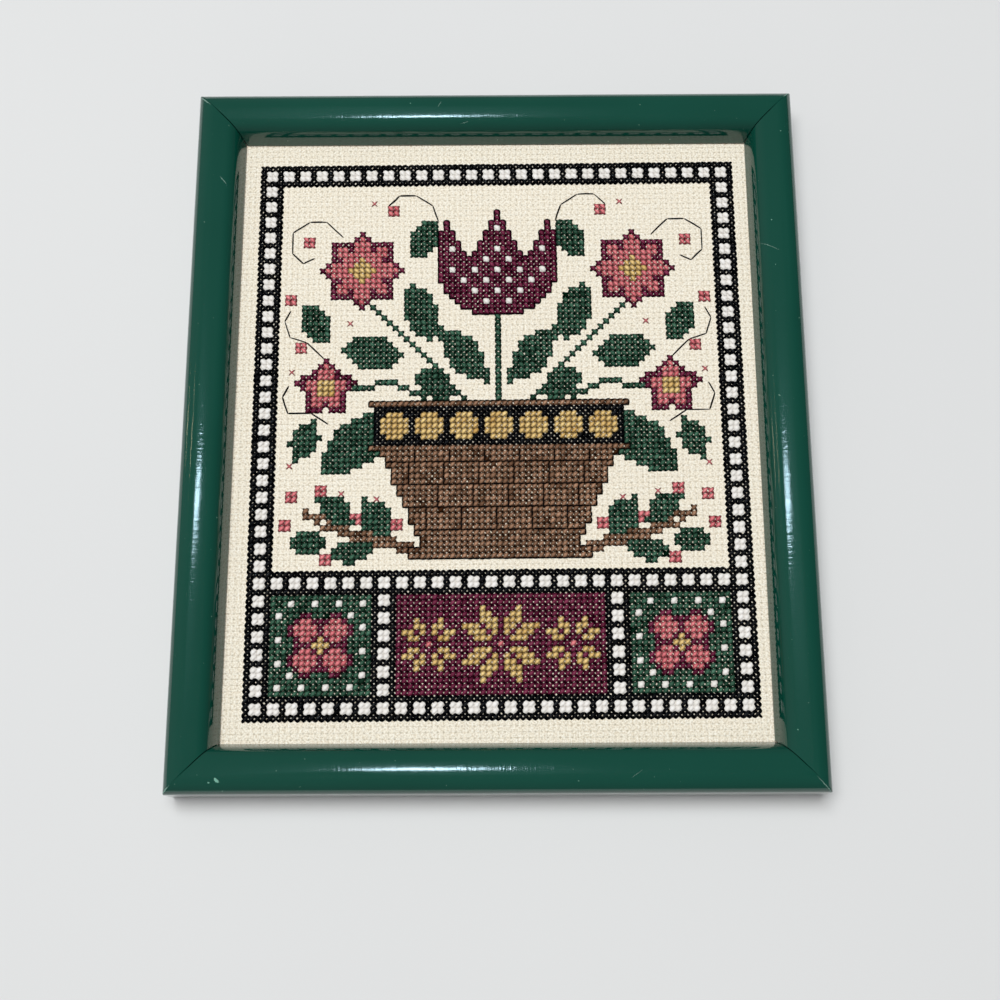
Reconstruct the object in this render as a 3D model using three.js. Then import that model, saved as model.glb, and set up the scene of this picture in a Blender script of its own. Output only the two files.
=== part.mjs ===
// A framed cross-stitch picture, lying on its back.
//
// Millimetres, +Z out of the picture's face, +Y towards the picture's top. The origin is the middle
// of the frame's back, on the surface that the frame lies on.
//
// Four rails of one lacquered wooden moulding are mitred at the corners. A rabbet along their inner
// edge takes the stretched cloth, face up under the lip, and a plain board that keeps it flat.

import * as THREE from 'three';

// Driving dimensions.
const SIGHT_WIDTH = 164; // opening between the inner edges of the side rails
const SIGHT_HEIGHT = 195.5; // opening between the inner edges of the top and bottom rails
const RAIL_WIDTH = 15; // moulding, from its inner edge to its outer side
const RAIL_DEPTH = 18; // moulding, from its back to its crown
const LIP_REACH = 5; // how far the lip laps over the cloth, which is the rabbet's width
const CLOTH_TOP = 8.7; // height of the cloth's face above the frame's back
const CLOTH_THICKNESS = 1;
const BOARD_THICKNESS = 3;
const CLEARANCE = 0.3; // gap between pieces that meet

// The moulding's section, as distances out from the inner edge and heights above the back.
const LIP_EDGE = 0.4; // upright edge of the lip
const BRIM_OUT = 5; // brim, where the crown's slope starts to round over
const BRIM_TOP = 17.4;
const BRIM_FALL = 0.2; // slope of the section at the brim
const BRIM_PULL = 3.5; // how far that slope carries on before the section turns down
const WALL_OUT = 1.15; // the way the steep inner wall sets off from the lip's edge
const WALL_UP = 3.6;
const CROWN_OUT = 10; // highest line of the moulding
const SHOULDER_TOP = 13.7; // where the round outer edge meets the upright outer side
const BACK_CHAMFER = 0.6; // eased corner between the outer side and the back
const CURVE_SEGMENTS = 14; // flats on each curve of the section

const LIP_UNDERSIDE = CLOTH_TOP + CLEARANCE;
const CLOTH_MIDDLE = CLOTH_TOP - CLOTH_THICKNESS / 2;
const BOARD_MIDDLE = CLOTH_TOP - CLOTH_THICKNESS - CLEARANCE - BOARD_THICKNESS / 2;
const SHEET_WIDTH = SIGHT_WIDTH + 2 * (LIP_REACH - CLEARANCE);
const SHEET_HEIGHT = SIGHT_HEIGHT + 2 * (LIP_REACH - CLEARANCE);

// Half the gap across a mitre, measured along a rail.
const MITRE_SETBACK = (CLEARANCE / 2) * Math.SQRT2;

const UP = new THREE.Vector3(0, 0, 1);

const lacquer = () => new THREE.MeshStandardMaterial({ color: 0x1d5a44, roughness: 0.15, metalness: 0 });
const cottonCloth = () => new THREE.MeshStandardMaterial({ color: 0xe8ddc6, roughness: 0.95, metalness: 0 });
const brownBoard = () => new THREE.MeshStandardMaterial({ color: 0x8c7355, roughness: 0.9, metalness: 0 });

// The moulding's section: x runs out from the inner edge, y up from the back.
function mouldingSection() {
  const section = new THREE.Shape();
  section.moveTo(0, LIP_UNDERSIDE);
  section.lineTo(LIP_REACH, LIP_UNDERSIDE);
  section.lineTo(LIP_REACH, 0);
  section.lineTo(RAIL_WIDTH - BACK_CHAMFER, 0);
  section.lineTo(RAIL_WIDTH, BACK_CHAMFER);
  section.lineTo(RAIL_WIDTH, SHOULDER_TOP);
  section.absellipse(
    CROWN_OUT, SHOULDER_TOP,
    RAIL_WIDTH - CROWN_OUT, RAIL_DEPTH - SHOULDER_TOP,
    0, Math.PI / 2, false,
  );
  section.bezierCurveTo(
    CROWN_OUT - 1, RAIL_DEPTH,
    BRIM_OUT + 1.2, BRIM_TOP + 1.2 * BRIM_FALL,
    BRIM_OUT, BRIM_TOP,
  );
  section.bezierCurveTo(
    BRIM_OUT - BRIM_PULL, BRIM_TOP - BRIM_PULL * BRIM_FALL,
    WALL_OUT, LIP_UNDERSIDE + LIP_EDGE + WALL_UP,
    0, LIP_UNDERSIDE + LIP_EDGE,
  );
  section.closePath();
  return section;
}

// One rail whose inner edge is innerLength long, with both ends mitred outwards.
function railGeometry(innerLength) {
  const geometry = new THREE.ExtrudeGeometry(mouldingSection(), {
    depth: innerLength,
    steps: 1,
    bevelEnabled: false,
    curveSegments: CURVE_SEGMENTS,
  });
  const position = geometry.getAttribute('position');
  for (let i = 0; i < position.count; i += 1) {
    const end = position.getZ(i) > innerLength / 2 ? 1 : -1;
    const reach = innerLength / 2 + position.getX(i) - MITRE_SETBACK;
    position.setZ(i, end * reach);
  }
  geometry.computeVertexNormals();
  return geometry;
}

// A rail with its inner edge at inset from the middle, facing away from it.
function rail(name, innerLength, outward, inset) {
  const mesh = new THREE.Mesh(railGeometry(innerLength), lacquer());
  const along = new THREE.Vector3().crossVectors(outward, UP);
  mesh.name = name;
  mesh.quaternion.setFromRotationMatrix(new THREE.Matrix4().makeBasis(outward, UP, along));
  mesh.position.copy(outward).multiplyScalar(inset);
  return mesh;
}

// A flat sheet that fills the rabbet, with its middle at the given height.
function sheet(name, thickness, middle, material) {
  const mesh = new THREE.Mesh(new THREE.BoxGeometry(SHEET_WIDTH, SHEET_HEIGHT, thickness), material);
  mesh.name = name;
  mesh.position.z = middle;
  return mesh;
}

const frame = new THREE.Group();
frame.add(
  rail('frame_rail_top', SIGHT_WIDTH, new THREE.Vector3(0, 1, 0), SIGHT_HEIGHT / 2),
  rail('frame_rail_bottom', SIGHT_WIDTH, new THREE.Vector3(0, -1, 0), SIGHT_HEIGHT / 2),
  rail('frame_rail_left', SIGHT_HEIGHT, new THREE.Vector3(-1, 0, 0), SIGHT_WIDTH / 2),
  rail('frame_rail_right', SIGHT_HEIGHT, new THREE.Vector3(1, 0, 0), SIGHT_WIDTH / 2),
);

const picture = new THREE.Group();
picture.add(
  frame,
  sheet('stitched_cloth', CLOTH_THICKNESS, CLOTH_MIDDLE, cottonCloth()),
  sheet('backing_board', BOARD_THICKNESS, BOARD_MIDDLE, brownBoard()),
);

export default picture;
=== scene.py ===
"""A cross-stitch picture in a glossy green frame, lying on its back on a pale floor.

Metres, +Z out of the picture's face, +Y towards its top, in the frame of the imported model. Sizes are
written in millimetres and turned into metres by MM, apart from the scales and bump distances of the
materials, which are in metres. The chart counts stitches: columns from the left and rows from the
bottom, from 0.
"""

import math

import bpy
import numpy as np
from mathutils import Matrix, Vector

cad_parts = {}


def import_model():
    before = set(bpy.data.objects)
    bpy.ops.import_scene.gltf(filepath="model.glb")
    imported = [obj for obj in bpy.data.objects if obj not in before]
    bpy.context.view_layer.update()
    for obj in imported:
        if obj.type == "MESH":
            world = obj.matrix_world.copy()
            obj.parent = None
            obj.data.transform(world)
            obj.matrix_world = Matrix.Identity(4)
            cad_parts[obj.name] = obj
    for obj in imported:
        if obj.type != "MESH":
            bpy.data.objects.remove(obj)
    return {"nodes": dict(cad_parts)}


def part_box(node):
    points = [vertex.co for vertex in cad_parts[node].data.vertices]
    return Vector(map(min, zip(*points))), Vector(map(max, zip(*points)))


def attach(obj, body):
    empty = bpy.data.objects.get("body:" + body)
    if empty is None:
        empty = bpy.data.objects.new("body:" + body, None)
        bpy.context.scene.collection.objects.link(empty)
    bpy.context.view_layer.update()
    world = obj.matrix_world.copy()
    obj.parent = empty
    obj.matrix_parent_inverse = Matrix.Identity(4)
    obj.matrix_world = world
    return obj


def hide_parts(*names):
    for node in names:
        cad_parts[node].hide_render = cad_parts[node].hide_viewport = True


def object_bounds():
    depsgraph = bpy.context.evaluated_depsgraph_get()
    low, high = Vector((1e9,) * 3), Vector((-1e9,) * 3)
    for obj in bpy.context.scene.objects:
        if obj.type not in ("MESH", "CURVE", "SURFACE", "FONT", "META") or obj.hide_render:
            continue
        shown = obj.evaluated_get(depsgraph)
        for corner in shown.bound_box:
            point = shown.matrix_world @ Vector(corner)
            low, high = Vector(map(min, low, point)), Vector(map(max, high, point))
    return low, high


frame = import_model()
cad_low, cad_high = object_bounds()

MM = 0.001
BODY = "root"
SEED = 14
chance = np.random.default_rng(SEED)

# ---------------------------------------------------------------------------------------------
# Sizes
# ---------------------------------------------------------------------------------------------

# The moulding's section, as in the part's source: distances out from the inner edge, heights above
# the back.
RAIL_WIDTH = 15
RAIL_DEPTH = 18
LIP_REACH = 5
LIP_EDGE = 0.4
BRIM_OUT = 5
BRIM_TOP = 17.4
BRIM_FALL = 0.2
BRIM_PULL = 3.5
WALL_OUT = 1.15
WALL_UP = 3.6
CROWN_OUT = 10
SHOULDER_TOP = 13.7
BACK_CHAMFER = 0.6
CLEARANCE = 0.3

cloth_low, cloth_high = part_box("stitched_cloth")
CLOTH_TOP = cloth_high.z / MM
OUTER_WIDTH = (cad_high.x - cad_low.x) / MM
OUTER_HEIGHT = (cad_high.y - cad_low.y) / MM
SIGHT_WIDTH = OUTER_WIDTH - 2 * RAIL_WIDTH
SIGHT_HEIGHT = OUTER_HEIGHT - 2 * RAIL_WIDTH

# The cloth has fourteen holes to the inch, and the chart sits on it a little off centre and askew.
PITCH = 25.4 / 14
COLUMNS = 85
ROWS = 100
CHART_MIDDLE = (0.85, -0.1)
CHART_TURN = math.radians(0.33)


# ---------------------------------------------------------------------------------------------
# Meshes
# ---------------------------------------------------------------------------------------------


def mesh_piece(name, vertices, faces, materials, sharp_above):
    """An object of a mesh in millimetres, smooth but for edges sharper than the angle in degrees."""
    mesh = bpy.data.meshes.new(name)
    mesh.from_pydata((np.asarray(vertices, float) * MM).tolist(), [], faces)
    for material in materials:
        mesh.materials.append(material)
    mesh.shade_smooth()
    mesh.set_sharp_from_angle(angle=math.radians(sharp_above))
    piece = bpy.data.objects.new(name, mesh)
    bpy.context.scene.collection.objects.link(piece)
    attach(piece, BODY)
    return piece


def add_map(mesh, name, corner_places):
    """A UV map from one place for each face corner."""
    layer = mesh.uv_layers.new(name=name, do_init=False)
    layer.data.foreach_set("uv", np.asarray(corner_places, np.float32).ravel())


def corner_vertices(mesh):
    """The number of the vertex at each face corner."""
    numbers = np.empty(len(mesh.loops), np.int32)
    mesh.loops.foreach_get("vertex_index", numbers)
    return numbers


# ---------------------------------------------------------------------------------------------
# Materials
# ---------------------------------------------------------------------------------------------


def rgb(red, green, blue):
    """Screen values from 0 to 255 as a linear colour."""
    shares = [value / 255 for value in (red, green, blue)]
    linear = [s / 12.92 if s <= 0.04045 else ((s + 0.055) / 1.055) ** 2.4 for s in shares]
    return (*linear, 1.0)


class Surface:
    """A Principled material, with short ways to add nodes to it."""

    def __init__(self, name, **values):
        self.material = bpy.data.materials.new(name)
        self.material.use_nodes = True
        self.nodes = self.material.node_tree.nodes
        self.shader = self.nodes["Principled BSDF"]
        for key, value in values.items():
            self.shader.inputs[key.replace("_", " ")].default_value = value

    def add(self, kind, settings=None, **sockets):
        """A node; each socket, named or numbered as i0, gets a value or another node's output."""
        node = self.nodes.new("ShaderNode" + kind)
        for key, value in (settings or {}).items():
            setattr(node, key, value)
        for key, value in sockets.items():
            place = int(key[1:]) if key[0] == "i" and key[1:].isdigit() else key.replace("_", " ")
            self.join(value, node.inputs[place])
        return node

    def join(self, value, socket):
        if isinstance(value, bpy.types.NodeSocket):
            self.material.node_tree.links.new(value, socket)
        else:
            socket.default_value = value

    def maths(self, operation, a, b=0.0):
        return self.add("Math", {"operation": operation}, i0=a, i1=b).outputs[0]

    def noise(self, where, scale, detail=2.0, roughness=0.5):
        node = self.add("TexNoise", Vector=where, Scale=scale, Detail=detail, Roughness=roughness)
        return node.outputs[0]

    def ramp(self, value, low, high, to_low=0.0, to_high=1.0):
        """A clamped straight ramp."""
        node = self.add("MapRange", {"clamp": True}, i0=value, i1=low, i2=high, i3=to_low, i4=to_high)
        return node.outputs[0]

    def blend(self, share, a, b):
        """A blend of two numbers."""
        return self.add("Mix", {"data_type": "FLOAT"}, i0=share, i2=a, i3=b).outputs[0]

    def mix(self, share, a, b):
        """A blend of two colours."""
        node = self.add("Mix", {"data_type": "RGBA"})
        self.join(share, node.inputs[0])
        self.join(a, node.inputs[6])
        self.join(b, node.inputs[7])
        return node.outputs[2]

    def stretched(self, where, scale, turn=(0, 0, 0), place=(0, 0, 0)):
        """Coordinates moved to a place, turned and scaled about it."""
        node = self.add("Mapping", {"vector_type": "TEXTURE"}, Vector=where, Location=place, Rotation=turn)
        return self.add("VectorMath", {"operation": "MULTIPLY"}, i0=node.outputs[0], i1=scale).outputs[0]

    def bump(self, height, distance, strength=1.0, normal=None):
        node = self.add("Bump", Height=height, Distance=distance, Strength=strength)
        if normal is not None:
            self.join(normal, node.inputs["Normal"])
        return node.outputs[0]

    def set(self, **links):
        for key, value in links.items():
            self.join(value, self.shader.inputs[key.replace("_", " ")])


# Wear on the lacquer: place (x, y), half length and half width in millimetres, and turn in degrees.
CHIPS = (
    (-80.5, -108.6, 0.8, 0.4, -35),
    (-80.9, -108.2, 0.4, 0.35, 30),
    (-82.8, -109.2, 0.3, 0.15, 10),
    (92.7, 97.7, 0.2, 0.16, 0),
    (88.2, 66.5, 0.2, 0.2, 0),
    (88.7, 51.1, 0.14, 0.14, 0),
    (87.6, -94.7, 0.22, 0.18, 0),
    (23.7, -109.1, 0.22, 0.15, 0),
    (-27.3, 108.3, 0.2, 0.14, 0),
)
SCRATCHES = (
    (87.4, 57.5, 2.4, 0.09, -30),
    (-87.2, 81.4, 1.4, 0.1, -50),
    (-17.8, 107.9, 0.9, 0.07, 60),
    (-9.6, 101.8, 1.1, 0.06, 15),
    (40.5, -107.2, 1.6, 0.05, 35),
    (-89.8, -20.5, 1.9, 0.05, 80),
    # Along the mitres.
    (-94.6, 110.3, 2.4, 0.13, -45),
    (-95.6, -111.3, 1.6, 0.16, 45),
    (94.6, -110.3, 2.6, 0.08, -45),
    (95.4, 111.2, 1.2, 0.1, 45),
)


def marks(surface, place, rows, softness):
    """From 0 to 1, how far each point is inside one of the marks."""
    total = None
    for x, y, length, width, degrees in rows:
        scale = (1 / (length * MM), 1 / (width * MM), 0)
        near = surface.stretched(place, scale, (0, 0, math.radians(degrees)), (x * MM, y * MM, 0))
        size = surface.add("VectorMath", {"operation": "LENGTH"}, i0=near).outputs[1]
        inside = surface.ramp(size, 1 + softness, 1 - softness)
        total = inside if total is None else surface.maths("MAXIMUM", total, inside)
    return total


def green_lacquer():
    """Deep green lacquer with an even gloss, faint ripples across it, dust, scratches and small chips."""
    surface = Surface(
        "green_lacquer",
        Coat_Weight=1.0,
        Coat_IOR=1.65,
        Coat_Roughness=0.08,
        Specular_IOR_Level=0.006,
    )
    place = surface.add("TexCoord").outputs["Object"]
    along = surface.add("UVMap", {"uv_map": "Rail"}).outputs[0]
    ragged = surface.add(
        "VectorMath",
        {"operation": "MULTIPLY_ADD"},
        i0=surface.add("TexNoise", Vector=place, Scale=2600.0, Detail=2.0).outputs[1],
        i1=(0.0006, 0.0006, 0),
        i2=place,
    ).outputs[0]
    chips = marks(surface, ragged, CHIPS, 0.2)
    scratches = marks(surface, ragged, SCRATCHES, 0.4)
    cloudy = surface.noise(place, 22.0, 3.0)
    green = surface.mix(cloudy, rgb(4, 62, 50), rgb(8, 70, 57))
    dust = surface.ramp(surface.noise(place, 900.0, 1.0), 0.79, 0.83)
    green = surface.mix(surface.maths("MULTIPLY", dust, 0.35), green, rgb(150, 190, 170))
    green = surface.mix(surface.maths("MULTIPLY", scratches, 0.6), green, rgb(165, 205, 190))
    colour = surface.mix(chips, green, rgb(114, 168, 150))
    smudges = surface.ramp(surface.noise(place, 45.0, 4.0, 0.6), 0.35, 0.75, 0.14, 0.18)
    roughness = surface.maths("MAXIMUM", smudges, surface.maths("MULTIPLY", chips, 0.8))
    ripples = surface.noise(surface.stretched(along, (1300, 220, 0)), 1.0, 2.0, 0.6)
    peel = surface.noise(place, 420.0, 1.0)
    normal = surface.bump(ripples, 0.00002)
    normal = surface.bump(peel, 0.000006, 1.0, normal)
    normal = surface.bump(surface.maths("ADD", chips, scratches), -0.00012, 1.0, normal)
    surface.set(Base_Color=colour, Roughness=roughness, Normal=normal, Coat_Normal=normal)
    return surface.material


def raw_wood():
    """Bare pale wood with grain along the rail, for the back and the rabbet."""
    surface = Surface("raw_wood", Specular_IOR_Level=0.3)
    along = surface.add("UVMap", {"uv_map": "Rail"}).outputs[0]
    fibres = surface.noise(surface.stretched(along, (14, 900, 0)), 1.0, 5.0, 0.65)
    rings = surface.noise(surface.stretched(along, (3, 190, 0)), 1.0, 2.0)
    pores = surface.ramp(surface.noise(surface.stretched(along, (120, 2600, 0)), 1.0, 1.0), 0.62, 0.7)
    wood = surface.mix(rings, rgb(196, 160, 116), rgb(168, 128, 86))
    wood = surface.mix(surface.ramp(fibres, 0.3, 0.75, 0, 0.5), wood, rgb(146, 108, 70))
    wood = surface.mix(surface.maths("MULTIPLY", pores, 0.5), wood, rgb(110, 78, 48))
    roughness = surface.ramp(fibres, 0.2, 0.8, 0.6, 0.85)
    surface.set(Base_Color=wood, Roughness=roughness, Normal=surface.bump(fibres, 0.0001))
    return surface.material


def cream_cloth():
    """Evenweave cotton: four threads each way in a block, a hole between blocks, and painted shade in the
    gaps.
    """
    surface = Surface("cream_cotton", Sheen_Weight=0.15, Sheen_Roughness=0.5, Specular_IOR_Level=0.25)
    block = surface.add("UVMap", {"uv_map": "Blocks"}).outputs[0]
    parts = surface.add("SeparateXYZ", i0=block)
    across, up = parts.outputs[0], parts.outputs[1]

    def threads(value):
        """Round ridges, four to a block."""
        waves = surface.maths("SINE", surface.maths("MULTIPLY", value, 4 * math.pi))
        return surface.maths("ABSOLUTE", waves)

    def from_line(value):
        """Distance to the nearest line of holes, from 0 to half a block."""
        return surface.maths("PINGPONG", value, 0.5)

    near_column, near_row = from_line(across), from_line(up)
    floats_up = surface.ramp(near_row, 0.14, 0.22)
    weave = surface.blend(floats_up, threads(up), threads(across))
    squares = [surface.maths("POWER", distance, 2.0) for distance in (near_column, near_row)]
    hole = surface.ramp(surface.maths("SQRT", surface.maths("ADD", *squares)), 0.04, 0.26, 0.75, 0.0)
    patchy = surface.ramp(surface.noise(block, 0.8, 3.0, 0.7), 0.3, 0.7, 0.1, 0.75)
    line = surface.ramp(surface.maths("MINIMUM", near_column, near_row), 0.0, 0.26, 0.22, 0.0)
    between = surface.maths("MULTIPLY", line, patchy)
    along_rows = surface.noise(surface.stretched(block, (0.5, 4, 0)), 1.0, 2.0)
    along_columns = surface.noise(surface.stretched(block, (4, 0.5, 0)), 1.0, 2.0)
    slubs = surface.blend(floats_up, along_rows, along_columns)
    fuzz = surface.noise(block, 3.2, 3.0, 0.7)
    blotches = surface.noise(surface.add("TexCoord").outputs["Object"], 26.0, 3.0)
    cotton = surface.mix(surface.ramp(blotches, 0.3, 0.7), rgb(253, 243, 225), rgb(248, 237, 218))
    cotton = surface.mix(surface.ramp(slubs, 0.3, 0.7, 0, 0.75), cotton, rgb(255, 252, 244))
    # Painted shade between the threads of the weave.
    cotton = surface.mix(surface.ramp(weave, 0.0, 0.6, 0.3, 0.0), cotton, rgb(214, 199, 174))
    # Painted shade along the grooves between the blocks, in patches.
    cotton = surface.mix(between, cotton, rgb(214, 201, 176))
    cotton = surface.mix(surface.ramp(fuzz, 0.42, 0.66, 0, 0.85), cotton, rgb(200, 183, 157))
    # Painted shade in the holes, deeper where a hole is more open.
    open_here = surface.ramp(surface.noise(block, 0.9, 2.0), 0.3, 0.65, 0.35, 1.0)
    cotton = surface.mix(surface.maths("MULTIPLY", hole, open_here), cotton, rgb(168, 156, 134))
    roughness = surface.ramp(weave, 0.0, 1.0, 0.95, 0.8)
    normal = surface.bump(weave, 0.00012, 0.8)
    surface.set(Base_Color=cotton, Roughness=roughness, Normal=normal)
    return surface.material


def stranded_cotton(name, colour, shade, depth):
    """Embroidery floss with painted shade where it goes down into the cloth and between its plies, glossy
    along its crest.
    """
    surface = Surface("floss_" + name)
    strand = surface.add("UVMap", {"uv_map": "Strand"}).outputs[0]
    twist = surface.add(
        "TexWave",
        {"wave_type": "BANDS", "bands_direction": "X"},
        Vector=surface.stretched(strand, (1, 1, 0), (0, 0, math.radians(35))),
        Scale=0.8,
        Distortion=0.6,
        Detail=1.0,
    ).outputs[1]
    tone = surface.add("Attribute", {"attribute_name": "tone"}).outputs[2]
    rise = surface.add("Attribute", {"attribute_name": "rise"}).outputs[2]
    # Painted shade for the holes: the shade colour, darkened further by depth.
    painted_hole_shade = (*((1 - depth) * c for c in shade[:3]), 1.0)
    floss = surface.mix(tone, shade, colour)
    # Painted shade in the grooves between the twisted plies.
    floss = surface.mix(surface.ramp(twist, 0.0, 0.6, 0.4, 0.0), floss, shade)
    # Painted shade where the rise is low: at the holes, on the underside and on the lower legs.
    floss = surface.mix(surface.ramp(rise, 0.3, 0.92), painted_hole_shade, floss)
    gloss = surface.maths("MULTIPLY", surface.ramp(rise, 0.6, 1.0, 0.0, 1.4), tone)
    roughness = surface.ramp(twist, 0.0, 1.0, 0.28, 0.2)
    surface.set(
        Base_Color=floss,
        Roughness=roughness,
        Specular_IOR_Level=gloss,
        Normal=surface.bump(twist, 0.00005, 0.6),
    )
    return surface.material


def brown_board():
    """Plain pressed board with short fibres and a few darker flecks."""
    surface = Surface("brown_board", Specular_IOR_Level=0.25)
    place = surface.add("TexCoord").outputs["Object"]
    fibres = surface.noise(surface.stretched(place, (260, 900, 260)), 1.0, 4.0, 0.7)
    flecks = surface.ramp(surface.noise(place, 700.0, 2.0), 0.62, 0.68)
    broad = surface.noise(place, 14.0, 3.0)
    board = surface.mix(broad, rgb(150, 118, 84), rgb(134, 104, 73))
    board = surface.mix(surface.ramp(fibres, 0.35, 0.7, 0, 0.6), board, rgb(168, 138, 102))
    board = surface.mix(surface.maths("MULTIPLY", flecks, 0.45), board, rgb(84, 62, 42))
    roughness = surface.ramp(fibres, 0.2, 0.8, 0.75, 0.95)
    surface.set(Base_Color=board, Roughness=roughness, Normal=surface.bump(fibres, 0.00008))
    return surface.material


# ---------------------------------------------------------------------------------------------
# Frame
# ---------------------------------------------------------------------------------------------

CURVE_STEPS = 18
MITRE_GAP = 0.13
MITRE_EASE = 0.1  # how far a mitre's sharp edges are drawn in
RAIL_STEPS = 44
SWELL = 0.025  # height of each of the slow waves along the moulding's top
SWELL_TURNS = 2.1
SWELL_RISE = 8  # height above the cloth over which they come in


def bezier(a, b, c, d, steps):
    """Points along a cubic curve, without its first."""
    t = np.linspace(0, 1, steps + 1)[1:, None]
    a, b, c, d = (np.array(p, float) for p in (a, b, c, d))
    return (1 - t) ** 3 * a + 3 * (1 - t) ** 2 * t * b + 3 * (1 - t) * t**2 * c + t**3 * d


def moulding_section():
    """The section's points, out and up, and how many of them bound the bare wood."""
    underside = CLOTH_TOP + CLEARANCE
    bare = [(0, underside), (LIP_REACH, underside), (LIP_REACH, 0), (RAIL_WIDTH - BACK_CHAMFER, 0)]
    side = [(RAIL_WIDTH, BACK_CHAMFER), (RAIL_WIDTH, SHOULDER_TOP)]
    turns = np.linspace(0, math.pi / 2, CURVE_STEPS + 1)[1:]
    shoulder = [
        (
            CROWN_OUT + (RAIL_WIDTH - CROWN_OUT) * math.cos(turn),
            SHOULDER_TOP + (RAIL_DEPTH - SHOULDER_TOP) * math.sin(turn),
        )
        for turn in turns
    ]
    slope = bezier(
        (CROWN_OUT, RAIL_DEPTH),
        (CROWN_OUT - 1, RAIL_DEPTH),
        (BRIM_OUT + 1.2, BRIM_TOP + 1.2 * BRIM_FALL),
        (BRIM_OUT, BRIM_TOP),
        CURVE_STEPS,
    )
    wall = bezier(
        (BRIM_OUT, BRIM_TOP),
        (BRIM_OUT - BRIM_PULL, BRIM_TOP - BRIM_PULL * BRIM_FALL),
        (WALL_OUT, underside + LIP_EDGE + WALL_UP),
        (0, underside + LIP_EDGE),
        CURVE_STEPS,
    )
    return np.vstack([bare, side, shoulder, slope, wall]), len(bare)


def rail(node, inner_length, outward, inset, materials):
    """A mitred length of moulding; its rings of points fan out so that both ends are mitred."""
    section, bare = moulding_section()
    count = len(section)
    middle = section.mean(axis=0)
    along = np.cross(outward, (0, 0, 1))
    setback = MITRE_GAP / 2 * math.sqrt(2)
    # Each ring's share of the half length, how far it is held back, and how far it is drawn in.
    shares = np.linspace(-1, 1, RAIL_STEPS + 1)
    rings = [(share, MITRE_EASE if abs(share) == 1 else 0.0, 0.0) for share in shares]
    rings = [(-1, 0.0, MITRE_EASE), *rings, (1, 0.0, MITRE_EASE)]
    lengths = np.concatenate([[0], np.cumsum(np.linalg.norm(np.diff(section, axis=0), axis=1))])
    wobble = chance.uniform(0, 2 * math.pi, 3)
    vertices, strip = [], []
    for share, back, ease in rings:
        towards = middle - section
        towards /= np.linalg.norm(towards, axis=1)[:, None]
        ring = section + towards * ease
        reach = share * (inner_length / 2 + section[:, 0] - setback - back)
        swell = sum(SWELL * math.sin((k + 2) * SWELL_TURNS * share + wobble[k]) for k in range(3))
        raised = ring[:, 1] + swell * np.clip((ring[:, 1] - CLOTH_TOP) / SWELL_RISE, 0, 1)
        points = (inset + ring[:, :1]) * outward + reach[:, None] * along
        points[:, 2] = np.minimum(raised, RAIL_DEPTH)
        vertices.append(points)
        strip.append(np.column_stack([reach, lengths]))
    faces, kinds = [], []
    for k in range(len(rings) - 1):
        for i in range(count):
            j = (i + 1) % count
            faces.append((k * count + i, k * count + j, (k + 1) * count + j, (k + 1) * count + i))
            kinds.append(1 if i < bare - 1 else 0)
    last = (len(rings) - 1) * count
    faces.append(tuple(range(count - 1, -1, -1)))
    faces.append(tuple(range(last, last + count)))
    kinds += [0, 0]
    piece = mesh_piece(node.replace("frame_", ""), np.vstack(vertices), faces, materials, sharp_above=30)
    piece.data.polygons.foreach_set("material_index", kinds)
    add_map(piece.data, "Rail", np.vstack(strip)[corner_vertices(piece.data)] * MM)
    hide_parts(node)
    return piece


# ---------------------------------------------------------------------------------------------
# Chart
# ---------------------------------------------------------------------------------------------

LADDER = 4  # stitches across a ladder
REPEAT = 3  # stitches from one rung to the next
AXIS = 42  # the middle column
SHELF_ROW = 21  # the lowest row of the ladder over the panels along the bottom
POSTS = (21, 60)  # the first columns of the ladders between them
PANEL_ROW = 12  # the panels' middle row
STARS_APART = 12
ROSETTES_OUT = 30  # columns from the axis to each rosette
# The lowest rows of the pot's foot, sides and belt, and half widths beside the middle column.
POT_FOOT = 27
POT_SIDE = POT_FOOT + 2
POT_BELT = 47
BELT_ROWS = 7
DISCS_APART = 6
FOOT_HALF = 15
SIDE_HALF = (13, 20)  # at its lowest and highest rows
BELT_HALF = 21
RIM_HALF = 22
BRICK_COLUMNS = 6
BRICK_ROWS = 4
BRICK_STITCH = 2  # holes from one end of a thin stitch to the other
TULIP_AT = (AXIS, 71)
DAISIES = ((24, 79, 7.6, 8), (30, 57, 5.4, 5))  # columns right of the axis, row, radius, petals
LEAVES = (  # columns right of the axis, row, length, width, turn in degrees
    (6, 63, 13, 6, 52),
    (13.5, 71, 12, 6, 72),
    (22, 63.5, 12, 6, 8),
    (24.5, 47, 17, 8, -40),
    (32, 69, 9, 5, 62),
    (11, 57.5, 9, 5, 28),
    (13, 85, 9, 5, 118),
    (33.5, 47.5, 8, 5, -70),
    (21, 33.5, 9, 5, 58),
    (28, 35, 8, 4.5, 40),
    (25, 28, 8, 4, -12),
    (32.5, 29.5, 7, 4, -8),
)
# Columns right of the axis, and rows.
STEMS = (((6, 55), (12, 62), (20, 70), (22, 72)), ((13, 55), (18, 58), (25, 57)))
TWIG = ((15, 28), (20, 29), (27, 31), (33, 34))
BERRIES = (
    *((17, 32), (24, 33), (30, 38), (35, 37), (36, 32), (29, 26)),
    *((18, 90), (34, 64), (36, 73), (33, 84)),
)
BUDS = ((21, 37.5), (36, 43.5), (27, 38.5), (22, 92.5), (36, 60.5), (26, 69.5))
TENDRILS = (  # holes right of the axis, and rows
    ((11, 89), (12, 92), (15, 94), (18, 94), (20, 92)),
    ((28, 86), (31, 89), (34, 89), (37, 87), (37, 83), (35, 81), (33, 82)),
    ((31, 63), (34, 66), (37, 67), (38, 70), (37, 72)),
    ((30, 51), (33, 53), (37, 53), (38, 56), (37, 58)),
)


def block(chart, columns, rows, colour):
    """A filled rectangle of stitches, with both of its ends."""
    for c in range(columns[0], columns[1] + 1):
        for r in range(rows[0], rows[1] + 1):
            chart[c, r] = colour


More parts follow.
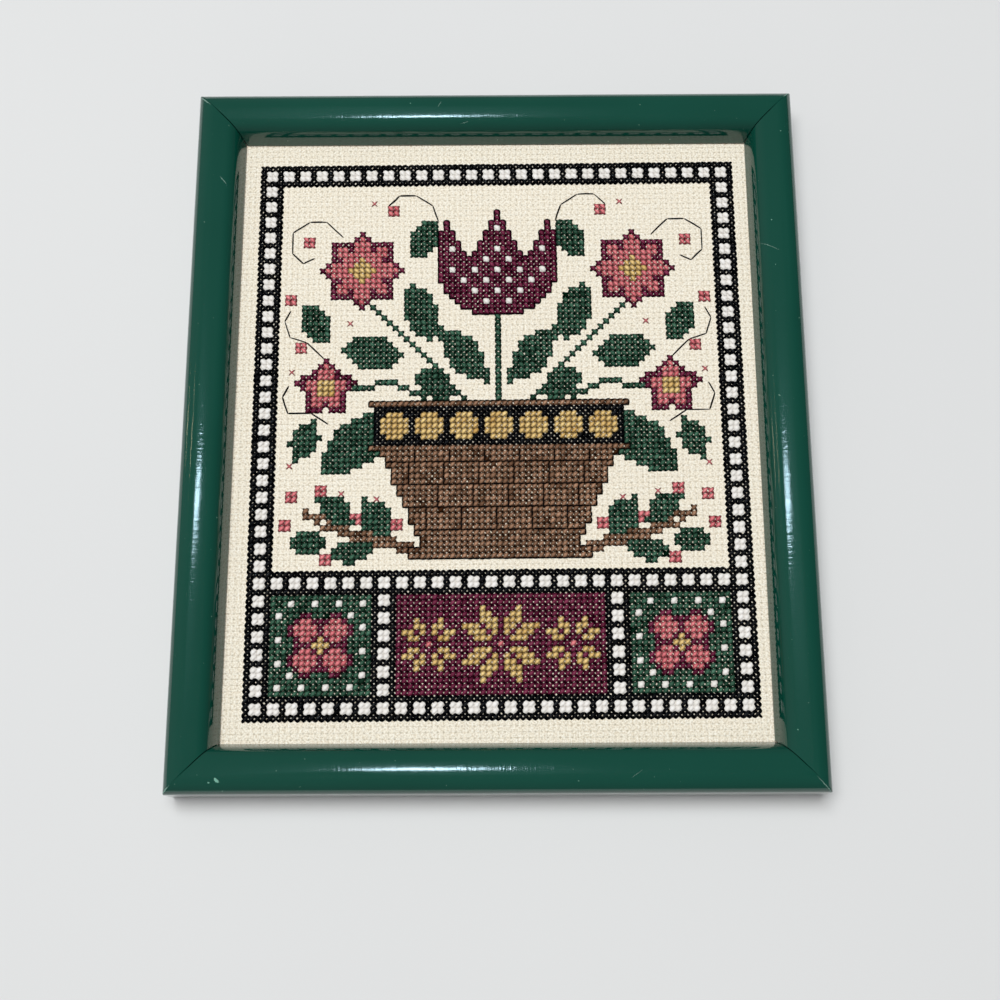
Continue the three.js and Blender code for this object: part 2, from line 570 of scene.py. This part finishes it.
def ladder(chart, columns, rows):
    """Black rails and rungs, with two by two white blocks between them."""
    for c in range(columns[0], columns[1] + 1):
        for r in range(rows[0], rows[1] + 1):
            chart[c, r] = "black" if c % REPEAT == 0 or r % REPEAT == 0 else "white"


def star(chart, at, arm, colour, heart):
    """The old eight-pointed star: slanting petals, parted along the axes and diagonals."""
    reach = 2 * arm
    for x in range(-reach, reach + 1):
        for y in range(-reach, reach + 1):
            near, far = sorted((abs(x), abs(y)))
            if 1 <= near <= arm and 1 <= far - near <= arm:
                chart[at[0] + x, at[1] + y] = colour
    chart[at] = heart


def rosette(chart, at, lobe, outline, petal, heart):
    """A flower of four outlined round petals on the diagonals."""
    reach = round(2.3 * lobe)
    for x in range(-reach, reach + 1):
        for y in range(-reach, reach + 1):
            off = math.hypot(abs(x) - lobe, abs(y) - lobe)
            if abs(x) + abs(y) <= 1:
                chart[at[0] + x, at[1] + y] = heart
            elif off < 0.8 * lobe:
                chart[at[0] + x, at[1] + y] = petal
            elif off < 1.22 * lobe:
                chart[at[0] + x, at[1] + y] = outline


def daisy(chart, at, radius, petals, outline, petal, heart):
    """An open flower with a scalloped outline."""
    reach = round(radius) + 1
    for x in range(-reach, reach + 1):
        for y in range(-reach, reach + 1):
            out = math.hypot(x, y)
            edge = radius * (0.86 + 0.14 * math.cos(petals * (math.atan2(y, x) - math.pi / 2)))
            if out < 0.28 * radius:
                chart[at[0] + x, at[1] + y] = heart
            elif out < edge - 1.3:
                chart[at[0] + x, at[1] + y] = petal
            elif out < edge:
                chart[at[0] + x, at[1] + y] = outline


def leaf(chart, at, length, width, degrees, colour):
    """A leaf pointed at both ends, under whatever is stitched already."""
    along = math.radians(degrees)
    reach = round(length / 2) + 1
    for c in range(round(at[0]) - reach, round(at[0]) + reach + 1):
        for r in range(round(at[1]) - reach, round(at[1]) + reach + 1):
            x, y = c - at[0], r - at[1]
            s = x * math.cos(along) + y * math.sin(along)
            t = y * math.cos(along) - x * math.sin(along)
            if abs(2 * t) < width * (1 - (2 * s / length) ** 2):
                chart.setdefault((c, r), colour)


def stem(chart, points, colour):
    """A line of single stitches, under whatever is stitched already."""
    for (c0, r0), (c1, r1) in zip(points, points[1:]):
        steps = max(abs(c1 - c0), abs(r1 - r0))
        for i in range(steps + 1):
            c = round(c0 + (c1 - c0) * i / steps)
            r = round(r0 + (r1 - r0) * i / steps)
            chart.setdefault((c, r), colour)


def tulip(chart, at, colour):
    """A round cup with three points."""
    half_widths = (4, 6, 7, 8, 9, 9, 10, 10, 10, 10, 10)
    widest = half_widths[-1]
    taper = 0.55  # columns that a point's side moves in a row
    for y, half in enumerate(half_widths):
        block(chart, (at[0] - half, at[0] + half), (at[1] + y, at[1] + y), colour)
    for k in range(9):
        for x in range(-widest, widest + 1):
            middle_point = abs(x) <= 4.4 - taper * k
            side_point = k < 7 and 5.6 + taper * k <= abs(x) <= widest - k // 5
            if middle_point or side_point:
                chart[at[0] + x, at[1] + len(half_widths) + k] = colour


def dots(chart, on, colour, origin, columns_apart, rows_apart):
    """Single stitches of another colour, staggered over the inside of each patch of one colour."""
    around = [(i, j) for i in (-1, 0, 1) for j in (-1, 0, 1)]
    for (c, r), was in list(chart.items()):
        x, y = c - origin[0], r - origin[1]
        shift = columns_apart // 2 if (y // rows_apart) % 2 else 0
        on_a_dot = y % rows_apart == 0 and (x + shift) % columns_apart == 0
        if was == on and on_a_dot and all(chart.get((c + i, r + j)) in (on, colour) for i, j in around):
            chart[c, r] = colour


def pot_half(row):
    """Stitches from the middle column to the pot's side, which flares upwards."""
    low, high = SIDE_HALF
    return low + round((row - POT_SIDE) * (high - low) / (POT_BELT - 1 - POT_SIDE))


def pot(chart):
    """A flared brown pot with a foot, and a black belt of gold discs."""
    for r in range(POT_SIDE, POT_BELT):
        block(chart, (AXIS - pot_half(r), AXIS + pot_half(r)), (r, r), "brown")
    block(chart, (AXIS - FOOT_HALF, AXIS + FOOT_HALF), (POT_FOOT, POT_SIDE - 1), "brown")
    block(chart, (AXIS - BELT_HALF, AXIS + BELT_HALF), (POT_BELT, POT_BELT + BELT_ROWS - 1), "black")
    for k in range(-3, 4):
        c = AXIS + DISCS_APART * k
        block(chart, (c - 1, c + 1), (POT_BELT + 1, POT_BELT + 5), "gold")
        block(chart, (c - 2, c + 2), (POT_BELT + 2, POT_BELT + 4), "gold")
    for r in (POT_BELT - 1, POT_BELT + BELT_ROWS):
        block(chart, (AXIS - RIM_HALF, AXIS + RIM_HALF), (r, r), "brown")


def panels(chart):
    """Three panels along the bottom: gold stars between two green ones with a rosette each."""
    rows = (LADDER, SHELF_ROW - 1)
    block(chart, (LADDER, COLUMNS - 1 - LADDER), rows, "green")
    block(chart, (POSTS[0] + LADDER, POSTS[1] - 1), rows, "burgundy")
    star(chart, (AXIS, PANEL_ROW), arm=3, colour="gold", heart="coral")
    for side in (-1, 1):
        star(chart, (AXIS + STARS_APART * side, PANEL_ROW), arm=2, colour="gold", heart="coral")
        middle = AXIS + ROSETTES_OUT * side
        rosette(chart, (middle, PANEL_ROW), lobe=2.4, outline="burgundy", petal="coral", heart="gold")
        # White dots round the rosette.
        for x in range(-7, 8, 2):
            for y in range(-7, 8, 2):
                if (x + y) % 4 == 2 and math.hypot(x, y) > 6.6:
                    chart[middle + x, PANEL_ROW + y] = "white"


def flower_pot_chart():
    """Every stitch of the design: (column, row) to colour."""
    chart = {}
    pot(chart)
    tulip(chart, TULIP_AT, "burgundy")
    for side in (-1, 1):
        for c, r, radius, petals in DAISIES:
            daisy(chart, (AXIS + side * c, r), radius, petals, "burgundy", "coral", "gold")
        for line in STEMS:
            stem(chart, [(AXIS + side * c, r) for c, r in line], "green")
        for lift in (0, 1):
            stem(chart, [(AXIS + side * c, r + lift) for c, r in TWIG], "brown")
        for c, r, length, width, degrees in LEAVES:
            turn = degrees if side > 0 else 180 - degrees
            leaf(chart, (AXIS + side * c, r), length, width, turn, "green")
        for c, r in BERRIES:
            for i in (0, 1):
                for j in (0, 1):
                    chart.setdefault((AXIS + side * (c + i), r + j), "coral")
    stem(chart, [(AXIS, POT_BELT + BELT_ROWS + 1), (AXIS, TULIP_AT[1] - 1)], "green")
    dots(chart, on="burgundy", colour="white", origin=(AXIS, 75), columns_apart=4, rows_apart=2)
    panels(chart)
    right, top = COLUMNS - 1, ROWS - 1
    ladder(chart, (0, right), (0, LADDER - 1))
    ladder(chart, (0, right), (top - LADDER + 1, top))
    ladder(chart, (0, LADDER - 1), (0, top))
    ladder(chart, (right - LADDER + 1, right), (0, top))
    ladder(chart, (0, right), (SHELF_ROW, SHELF_ROW + LADDER - 1))
    for post in POSTS:
        ladder(chart, (post, post + LADDER - 1), (LADDER - 1, SHELF_ROW))
    return chart


def tendril_lines():
    """The curls on both sides, as pairs of holes."""
    lines = []
    for side in (-1, 1):
        for curl in TENDRILS:
            for (x0, y0), (x1, y1) in zip(curl, curl[1:]):
                lines.append(((side * (x0 - 0.5), y0), (side * (x1 - 0.5), y1)))
    return lines


def bud_lines():
    """Single crosses of a thin strand, as pairs of holes."""
    lines = []
    for side in (-1, 1):
        for x, y in BUDS:
            for way in (-0.5, 0.5):
                lines.append(((side * x - 0.5, y - way), (side * x + 0.5, y + way)))
    return lines


def pot_lines():
    """Backstitched courses of bricks on the pot, as pairs of holes: columns from the middle line."""
    lines = []
    for k, r in enumerate(range(POT_SIDE + 3, POT_BELT - 2, BRICK_ROWS)):
        end = pot_half(r - 1) + 0.5
        for x in np.arange(-end, end, BRICK_STITCH):
            lines.append(((x, r), (min(x + BRICK_STITCH, end), r)))
        first = BRICK_STITCH + BRICK_COLUMNS / 2 * (k % 2) - end
        for x in np.arange(first, end - 1, BRICK_COLUMNS):
            for low in range(r, min(r + BRICK_ROWS, POT_BELT - 1), BRICK_STITCH):
                lines.append(((x, low), (x, low + BRICK_STITCH)))
    return lines


def outline(draw, *details):
    """A line round one motif, as pairs of holes: columns from the middle line."""
    cells = {}
    draw(cells, *details)
    lines = []
    for c, r in sorted(cells):
        left, right = c - AXIS - 0.5, c - AXIS + 0.5
        corners = [(left, r), (right, r), (right, r + 1), (left, r + 1)]
        beside = [(c, r - 1), (c + 1, r), (c, r + 1), (c - 1, r)]
        for i in range(4):
            if beside[i] not in cells:
                lines.append((corners[i], corners[(i + 1) % 4]))
    return lines


# ---------------------------------------------------------------------------------------------
# Cloth and stitches
# ---------------------------------------------------------------------------------------------

HOLE_HALF = 0.12  # a hole's half width, as a share of the pitch
HOLE_DEPTH = 0.12
GROOVE_DEPTH = 0.03
UNEVEN_DEPTH = 0.03
UNEVEN_PLACE = 0.02
EDGE_MARGIN = (1.7, 1.2)  # room at the cloth's edges for the chart's turn and its place off centre
# Each floss's width, half a stitch's reach as a share of the pitch, and lift. Cloth shows between the
# stitches; the white floss is fuller, and the black laps over what is next to it.
FULLNESS = {
    "white": (1.32, 0.51, 0),
    "black": (1.03, 0.6, 0.1),
    "gold": (1.12, 0.51, 0),
    "green": (1.1, 0.51, 0),
    "brown": (1.07, 0.51, 0),
}
USUAL_FULLNESS = (1.07, 0.51, 0)
FLOSS_HEIGHT = 0.46
FLOSS_GIRTH = 2.4  # length round a leg on the strand map
STRAND_SHIFT = (0.37, 0.71)  # moves each leg's place on the strand map, so that no two look alike
BAKE_MARGIN = 0.06  # share of each leg's cell on the bake map
LINE_WIDTH = 0.5
LINE_HEIGHT = 0.4
DIVE = 0.46  # length over which a stitch comes up out of its hole
# How much the stitches differ: bend and height in millimetres, lean and twist in radians, thickness
# as a share, where the ends lie, and the middle and spread of the tones.
BEND_SPREAD = 0.055
LIFT_SPREAD = 0.02
LEAN_RANGE = 0.5
TWIST_SPREAD = 0.6
THICKNESS_SPREAD = 0.09
END_SPREAD = 0.02  # as a share of the pitch
ROLL_SHARE = 0.6  # how much of a rolled leg's height goes into its width
TONE = (0.6, 0.2)
LINE_TONE = (0.5, 0.15)
# Heights of a thin stitch above the cloth along its length: on bare cloth, and over crosses.
LINE_ON_CLOTH = (-0.15, 0.14, 0.2, 0.14, -0.15)
LINE_OVER_CROSSES = (-0.1, 0.32, 0.44, 0.32, -0.1)
# The rounded section of a leg: across and up, as shares of its width and height.
SECTION = np.array([(0.5, -0.15), (0.34, 0.3), (0.0, 0.5), (-0.34, 0.3), (-0.5, -0.15), (0.0, -0.5)])
# How far each of its corners is from the leg's underside, and each ring from the cloth; low shares get
# painted shade.
CORNER_LIT_SHARE = np.array([0.4, 0.85, 1.0, 0.85, 0.4, 0.0])
RING_LIT_SHARE = np.array([0.0, 0.7, 1.0, 0.7, 0.0])
# How light a crest is, as a share of the upper leg's: the lower leg's, painted darker as it lies beneath,
# and a thin stitch's.
LOWER_LEG_LIT_SHARE = 0.7
LINE_LIT_SHARE = 0.8
# A leg comes up through one hole and goes down the next. Along it lie five rings: their places on
# the maps, their heights above the cloth in a lower and in an upper leg, and their shares of the
# full width.
RING_PLACES = (0.0, 0.16, 0.5, 0.84, 1.0)
LEG_HEIGHTS = np.array([(-0.16, 0.1, 0.2, 0.1, -0.16), (-0.12, 0.26, 0.68, 0.26, -0.12)])
RING_WIDTHS = np.array([0.55, 0.92, 1.0, 0.92, 0.55])


def on_cloth(places):
    """From holes counted from the chart's middle to millimetres in the frame."""
    places = np.asarray(places, float) * PITCH
    x, y = places[..., 0], places[..., 1]
    cos, sin = math.cos(CHART_TURN), math.sin(CHART_TURN)
    return np.stack([x * cos - y * sin, x * sin + y * cos], -1) + np.array(CHART_MIDDLE)


def cloth(material):
    """One stretched sheet, with a pit at each hole and shallow grooves between the blocks."""
    reach_x, reach_y = cloth_high.x / MM, cloth_high.y / MM

    def lines(half_holes, clear):
        """Grid lines counted in holes from the middle, three to each line of holes."""
        first = half_holes % 1
        whole = int(clear / PITCH - first)
        holes = np.arange(-whole - first, whole + first + 0.5)
        return np.sort(np.concatenate([holes - HOLE_HALF, holes, holes + HOLE_HALF]))

    xs = lines(COLUMNS / 2, reach_x - EDGE_MARGIN[0])
    ys = lines(ROWS / 2, reach_y - EDGE_MARGIN[1])
    grid = np.stack(np.meshgrid(xs, ys, indexing="ij"), -1)
    places = on_cloth(grid)
    on_column = np.abs(xs - COLUMNS / 2 - np.round(xs - COLUMNS / 2)) < 0.01
    on_row = np.abs(ys - ROWS / 2 - np.round(ys - ROWS / 2)) < 0.01
    depth = GROOVE_DEPTH * (on_column[:, None] | on_row[None, :])
    depth[np.ix_(on_column, on_row)] = HOLE_DEPTH
    depth += chance.uniform(0, UNEVEN_DEPTH, depth.shape)
    places += chance.normal(0, UNEVEN_PLACE, places.shape)
    heights = CLOTH_TOP - depth
    # Round the grid goes one more ring of points, on the sheet's edge.
    n, m = len(xs) + 2, len(ys) + 2
    top = np.empty((n, m, 3))
    top[1:-1, 1:-1, :2] = places
    top[1:-1, 1:-1, 2] = heights
    top[1:-1, [0, -1], :] = top[1:-1, [1, -2], :]
    top[[0, -1], :, :] = top[[1, -2], :, :]
    top[0, :, 0], top[-1, :, 0] = -reach_x, reach_x
    top[:, 0, 1], top[:, -1, 1] = -reach_y, reach_y
    top[[0, -1], :, 2] = CLOTH_TOP
    top[:, [0, -1], 2] = CLOTH_TOP
    number = np.arange(n * m).reshape(n, m)
    quads = np.stack([number[:-1, :-1], number[1:, :-1], number[1:, 1:], number[:-1, 1:]], -1)
    quads = quads.reshape(-1, 4)
    rim = np.concatenate([number[:-1, 0], number[-1, :-1], number[:0:-1, -1], number[0, :0:-1]])
    under = top.reshape(-1, 3)[rim].copy()
    under[:, 2] = cloth_low.z / MM
    below = n * m + np.arange(len(rim))
    sides = [(rim[i - 1], below[i - 1], below[i], rim[i]) for i in range(len(rim))]
    faces = [*quads.tolist(), *np.array(sides).tolist(), below[::-1].tolist()]
    vertices = np.vstack([top.reshape(-1, 3), under])
    piece = mesh_piece("evenweave_cloth", vertices, faces, [material], sharp_above=80)
    cos, sin = math.cos(CHART_TURN), math.sin(CHART_TURN)
    turn = np.array([[cos, -sin], [sin, cos]])
    blocks = (vertices[:, :2] - CHART_MIDDLE) / PITCH @ turn + np.array([COLUMNS / 2, ROWS / 2])
    baked = vertices[:, :2] / (2 * np.array([reach_x, reach_y])) + 0.5
    corners = corner_vertices(piece.data)
    add_map(piece.data, "Blocks", blocks[corners])
    add_map(piece.data, "OFBake", baked[corners])
    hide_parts("stitched_cloth")
    return piece


def legs(starts, ends, heights, widths, thickness):
    """Rings of points for many legs at once, shaped (legs, rings, corners, 3)."""
    count = len(starts)
    run = ends - starts
    length = np.linalg.norm(run, axis=1, keepdims=True)
    ahead = run / length
    aside = np.stack([-ahead[:, 1], ahead[:, 0]], -1)
    dive = DIVE / length[:, 0]
    start = np.zeros(count)
    shares = np.stack([start, dive, start + 0.5, 1 - dive, start + 1], -1)
    rise = np.sin(math.pi * shares)
    bend = chance.normal(0, BEND_SPREAD, count)[:, None] * rise
    centres = starts[:, None, :] + run[:, None, :] * shares[..., None]
    centres = centres + aside[:, None, :] * bend[..., None]
    lift = heights[None, :] + chance.normal(0, LIFT_SPREAD, count)[:, None] * rise
    lean = chance.uniform(-LEAN_RANGE, LEAN_RANGE, count)[:, None]
    roll = lean + chance.normal(0, TWIST_SPREAD, count)[:, None] * (shares - 0.5)
    size = widths[None, :] * chance.normal(1, THICKNESS_SPREAD, count)[:, None]
    across = SECTION[:, 0][None, None, :] * (size * thickness[0])[..., None]
    up = SECTION[:, 1][None, None, :] * (size * thickness[1])[..., None]
    cos, sin = np.cos(roll)[..., None], np.sin(roll)[..., None]
    flat = thickness[1] / thickness[0]
    rolled_across = across * cos - up * sin / flat * ROLL_SHARE
    rolled_up = up * cos + across * sin * flat
    points = np.empty((count, len(RING_PLACES), len(SECTION), 3))
    points[..., :2] = centres[:, :, None, :] + aside[:, None, None, :] * rolled_across[..., None]
    points[..., 2] = CLOTH_TOP + lift[..., None] + rolled_up
    return points, length[:, 0]


def floss_piece(name, points, lengths, tones, lit_shares, material):
    """One mesh of many legs, with its strand map, its bake map, each stitch's tone, and the rise that sets
    its painted shade.
    """
    count, rings, corners = points.shape[:3]
    one = np.arange(rings * corners).reshape(rings, corners)
    wrapped = np.roll(one, -1, axis=1)
    quads = np.stack([one[:-1], wrapped[:-1], wrapped[1:], one[1:]], -1).reshape(-1, 4)
    first_cap, last_cap = one[0][::-1], one[-1]
    step = rings * corners
    offsets = np.arange(count)[:, None, None] * step
    all_quads = (quads[None] + offsets).reshape(-1, 4)
    caps = (np.stack([first_cap, last_cap])[None] + offsets).reshape(-1, corners)
    faces = [*all_quads.tolist(), *caps.tolist()]
    piece = mesh_piece(name, points.reshape(-1, 3), faces, [material], sharp_above=80)
    mesh = piece.data
    ring_at, corner_at = np.meshgrid(RING_PLACES, np.arange(corners + 1) / corners, indexing="ij")
    strip = np.stack([ring_at, corner_at], -1)
    quad_places = np.stack([strip[:-1, :-1], strip[:-1, 1:], strip[1:, 1:], strip[1:, :-1]], -2)
    quad_places = quad_places.reshape(-1, 4, 2)
    cap_places = np.stack([np.zeros(corners), np.arange(corners) / corners], -1)
    cap_places = np.stack([cap_places, cap_places + (1, 0)])
    side = math.ceil(math.sqrt(count))
    cell = np.stack(np.divmod(np.arange(count), side), -1)[:, None, None, :]
    girth = np.full(count, FLOSS_GIRTH)
    stretch = np.stack([lengths, girth], -1)[:, None, None, :]
    baked, drawn = [], []
    for places in (quad_places[None], cap_places[None]):
        inside = BAKE_MARGIN + (1 - 2 * BAKE_MARGIN) * places
        baked.append(((inside + cell) / side).reshape(-1, 2))
        drawn.append((places * stretch + cell * STRAND_SHIFT).reshape(-1, 2))
    add_map(mesh, "OFBake", np.vstack(baked))
    add_map(mesh, "Strand", np.vstack(drawn))
    layer = mesh.attributes.new("tone", "FLOAT", "POINT")
    layer.data.foreach_set("value", np.repeat(tones, step).astype(np.float32))
    # Painted shade falls where this is low: at the ends in the holes, on the underside, and on lower legs.
    rise = lit_shares[:, None, None] * RING_LIT_SHARE[None, :, None] * CORNER_LIT_SHARE[None, None, :]
    layer = mesh.attributes.new("rise", "FLOAT", "POINT")
    layer.data.foreach_set("value", rise.astype(np.float32).ravel())
    return piece


def cross_stitches(name, cells, top_leg, width, reach, lift, material):
    """Crosses on the chart's cells; top_leg is 1 where the upper leg rises to the right, or -1."""
    cells = np.array(cells, float)
    middle = cells + 0.5 - np.array([COLUMNS / 2, ROWS / 2])
    tones = np.clip(chance.normal(*TONE, len(cells)), 0, 1)
    shapes, lengths = [], []
    for level in (0, 1):
        way = top_leg if level else -top_leg
        way = np.broadcast_to(way, len(cells)).astype(float)
        half = reach * np.stack([np.ones(len(cells)), way], -1)
        jitter = chance.normal(0, END_SPREAD, (2, *half.shape))
        points, length = legs(
            on_cloth(middle - half + jitter[0]),
            on_cloth(middle + half + jitter[1]),
            LEG_HEIGHTS[level] + lift,
            RING_WIDTHS,
            (width, FLOSS_HEIGHT),
        )
        shapes.append(points)
        lengths.append(length)
    # The lower legs get more painted shade than the upper ones.
    lit_shares = np.repeat([LOWER_LEG_LIT_SHARE, 1.0], len(cells))
    shapes, lengths = np.concatenate(shapes), np.concatenate(lengths)
    return floss_piece(name, shapes, lengths, np.tile(tones, 2), lit_shares, material)


def backstitches(name, lines, heights, material):
    """Thin stitches between pairs of holes, counted from the middle of the chart's lower edge."""
    holes = np.array(lines, float) - np.array([0, ROWS / 2])
    points, lengths = legs(
        on_cloth(holes[:, 0]),
        on_cloth(holes[:, 1]),
        np.array(heights),
        RING_WIDTHS,
        (LINE_WIDTH, LINE_HEIGHT),
    )
    tones = np.clip(chance.normal(*LINE_TONE, len(holes)), 0, 1)
    return floss_piece(name, points, lengths, tones, np.full(len(holes), LINE_LIT_SHARE), material)


# ---------------------------------------------------------------------------------------------
# Building
# ---------------------------------------------------------------------------------------------

# Each floss at its lightest and darkest: random tones lie between; the darker also gives painted shade.
COLOURS = {
    "black": (rgb(12, 13, 18), rgb(2, 3, 5)),
    "white": (rgb(253, 248, 246), rgb(229, 223, 217)),
    "burgundy": (rgb(142, 54, 86), rgb(62, 6, 30)),
    "gold": (rgb(255, 222, 152), rgb(206, 162, 94)),
    "brown": (rgb(192, 146, 116), rgb(62, 36, 20)),
    "green": (rgb(76, 122, 98), rgb(4, 30, 18)),
    "coral": (rgb(250, 148, 152), rgb(204, 98, 106)),
}

# How far the painted shade darkens each floss where it dives into the cloth.
PAINTED_SHADE_DEPTH = {"white": 0.15, "gold": 0.85, "coral": 0.85}
USUAL_PAINTED_SHADE_DEPTH = 0.95
LEAN_ROW = 60  # above this row the upper legs lean the other way

lacquer, wood = green_lacquer(), raw_wood()
for node, inner_length, outward, inset in (
    ("frame_rail_top", SIGHT_WIDTH, (0, 1, 0), SIGHT_HEIGHT / 2),
    ("frame_rail_bottom", SIGHT_WIDTH, (0, -1, 0), SIGHT_HEIGHT / 2),
    ("frame_rail_left", SIGHT_HEIGHT, (-1, 0, 0), SIGHT_WIDTH / 2),
    ("frame_rail_right", SIGHT_HEIGHT, (1, 0, 0), SIGHT_WIDTH / 2),
):
    rail(node, inner_length, np.array(outward, float), inset, [lacquer, wood])

cloth_piece = cloth(cream_cloth())

chart = flower_pot_chart()
stitch_pieces = []
for colour, (light, dark) in COLOURS.items():
    cells = sorted(cell for cell, floss in chart.items() if floss == colour)
    top_leg = np.array([-1 if r > LEAN_ROW else 1 for _, r in cells])
    material = stranded_cotton(colour, light, dark, PAINTED_SHADE_DEPTH.get(colour, USUAL_PAINTED_SHADE_DEPTH))
    fullness = FULLNESS.get(colour, USUAL_FULLNESS)
    stitch_pieces.append(cross_stitches("stitches_" + colour, cells, top_leg, *fullness, material))
black = stitch_pieces[0].data.materials[0]
stitch_pieces.append(backstitches("tendril_lines", tendril_lines(), LINE_ON_CLOTH, black))
pot_stitches = pot_lines() + outline(pot)
stitch_pieces.append(backstitches("pot_lines", pot_stitches, LINE_OVER_CROSSES, black))
tulip_stitches = outline(tulip, TULIP_AT, "burgundy")
stitch_pieces.append(backstitches("tulip_lines", tulip_stitches, LINE_OVER_CROSSES, black))
coral = next(piece for piece in stitch_pieces if piece.name == "stitches_coral").data.materials[0]
stitch_pieces.append(backstitches("bud_crosses", bud_lines(), LINE_ON_CLOTH, coral))

frame["nodes"]["backing_board"].data.materials.clear()
frame["nodes"]["backing_board"].data.materials.append(brown_board())

# ---------------------------------------------------------------------------------------------
# Floor, light and camera
# ---------------------------------------------------------------------------------------------

FLOOR_HALF = 1500
ROOM = (0.08, 0.22)  # the room's brightness at the far right and at the far left
ROOM_COLOUR = (0.96, 0.97, 1.0, 1.0)
GLOW = 0.2  # brightness of the glow around the bulb
GLOW_REACH = math.radians(9)
GLOW_COLOUR = (0.5, 0.97, 1.0, 1.0)
BULB_PLACE = (-133, 490, 2000)
WARM = (1.0, 0.85, 0.55)
# Name, place, size, watts, colour, and whether it shows in reflections. The faint bulbs draw the thin
# warm lines on the side rails.
LAMPS = (
    ("softbox", (-250, 150, 2030), (1100, 1100), 45, (0.98, 1.0, 0.99), False),
    ("bulb", BULB_PLACE, (160, 50), 1.15, (0.6, 0.85, 1.0), True),
    ("far_bulb", (-1150, 560, 1500), (24, 60), 0.18, WARM, True),
    ("far_bulb", (-1800, 560, 540), (24, 60), 0.18, WARM, True),
)
CAMERA_PLACE = (2.5, -136.5, 438.4)
CAMERA_AIM = (1.1, -23.4, CLOTH_TOP)
CAMERA_ROLL = math.radians(-0.95)
CAMERA_LENS = 51.8  # focal length, on a sensor of the width below
CAMERA_SENSOR = 36


def floor():
    """A plain pale floor."""
    surface = Surface("pale_floor", Roughness=0.9, Specular_IOR_Level=0.1)
    place = surface.add("TexCoord").outputs["Object"]
    shade = surface.noise(place, 3.0, 2.0)
    surface.set(Base_Color=surface.mix(shade, rgb(212, 211, 212), rgb(218, 217, 217)))
    signs = ((-1, -1), (1, -1), (1, 1), (-1, 1))
    corners = [Vector((x * FLOOR_HALF, y * FLOOR_HALF, 0)) * MM for x, y in signs]
    mesh = bpy.data.meshes.new("floor")
    mesh.from_pydata(corners, [], [(0, 1, 2, 3)])
    mesh.materials.append(surface.material)
    ground = bpy.data.objects.new("floor", mesh)
    bpy.context.scene.collection.objects.link(ground)


def lamp(name, place, size, watts, colour, mirrored):
    """A rectangular lamp that faces the middle of the frame's back."""
    light = bpy.data.lights.new(name, "AREA")
    light.shape = "RECTANGLE"
    light.size, light.size_y = (s * MM for s in size)
    light.energy = watts
    light.color = colour
    holder = bpy.data.objects.new(name, light)
    holder.location = Vector(place) * MM
    holder.rotation_euler = (-holder.location).to_track_quat("-Z", "Y").to_euler()
    holder.visible_glossy = mirrored
    bpy.context.scene.collection.objects.link(holder)


def world():
    """A dim studio, lighter towards the left, with a soft glow around the bulb."""
    sky = bpy.data.worlds.new("studio")
    sky.use_nodes = True
    nodes, links = sky.node_tree.nodes, sky.node_tree.links

    def ramp(value, low, high, to_low, to_high):
        node = nodes.new("ShaderNodeMapRange")
        node.interpolation_type = "SMOOTHSTEP"
        links.new(value, node.inputs[0])
        for k, number in enumerate((low, high, to_low, to_high), 1):
            node.inputs[k].default_value = number
        return node.outputs[0]

    way = nodes.new("ShaderNodeTexCoord").outputs["Generated"]
    parts = nodes.new("ShaderNodeSeparateXYZ")
    links.new(way, parts.inputs[0])
    near = nodes.new("ShaderNodeVectorMath")
    near.operation = "DOT_PRODUCT"
    near.inputs[1].default_value = Vector(BULB_PLACE).normalized()
    links.new(way, near.inputs[0])
    room = nodes["Background"]
    room.inputs["Color"].default_value = ROOM_COLOUR
    links.new(ramp(parts.outputs[0], 0.9, -0.9, *ROOM), room.inputs["Strength"])
    glow = nodes.new("ShaderNodeBackground")
    glow.inputs["Color"].default_value = GLOW_COLOUR
    strength = ramp(near.outputs["Value"], math.cos(GLOW_REACH), 1.0, 0.0, GLOW)
    links.new(strength, glow.inputs["Strength"])
    both = nodes.new("ShaderNodeAddShader")
    links.new(room.outputs[0], both.inputs[0])
    links.new(glow.outputs[0], both.inputs[1])
    links.new(both.outputs[0], nodes["World Output"].inputs["Surface"])
    bpy.context.scene.world = sky


def camera():
    """The photographer's place, near the lower edge and looking down."""
    data = bpy.data.cameras.new("camera")
    data.lens = CAMERA_LENS
    data.sensor_width = CAMERA_SENSOR
    data.clip_start = 0.01
    holder = bpy.data.objects.new("camera", data)
    holder.location = Vector(CAMERA_PLACE) * MM
    look = (Vector(CAMERA_AIM) - Vector(CAMERA_PLACE)).to_track_quat("-Z", "Y")
    holder.rotation_mode = "QUATERNION"
    holder.rotation_quaternion = look @ Matrix.Rotation(CAMERA_ROLL, 3, "Z").to_quaternion()
    bpy.context.scene.collection.objects.link(holder)
    bpy.context.scene.camera = holder


floor()
world()
for row in LAMPS:
    lamp(*row)
camera()
bpy.context.scene.view_settings.view_transform = "Standard"
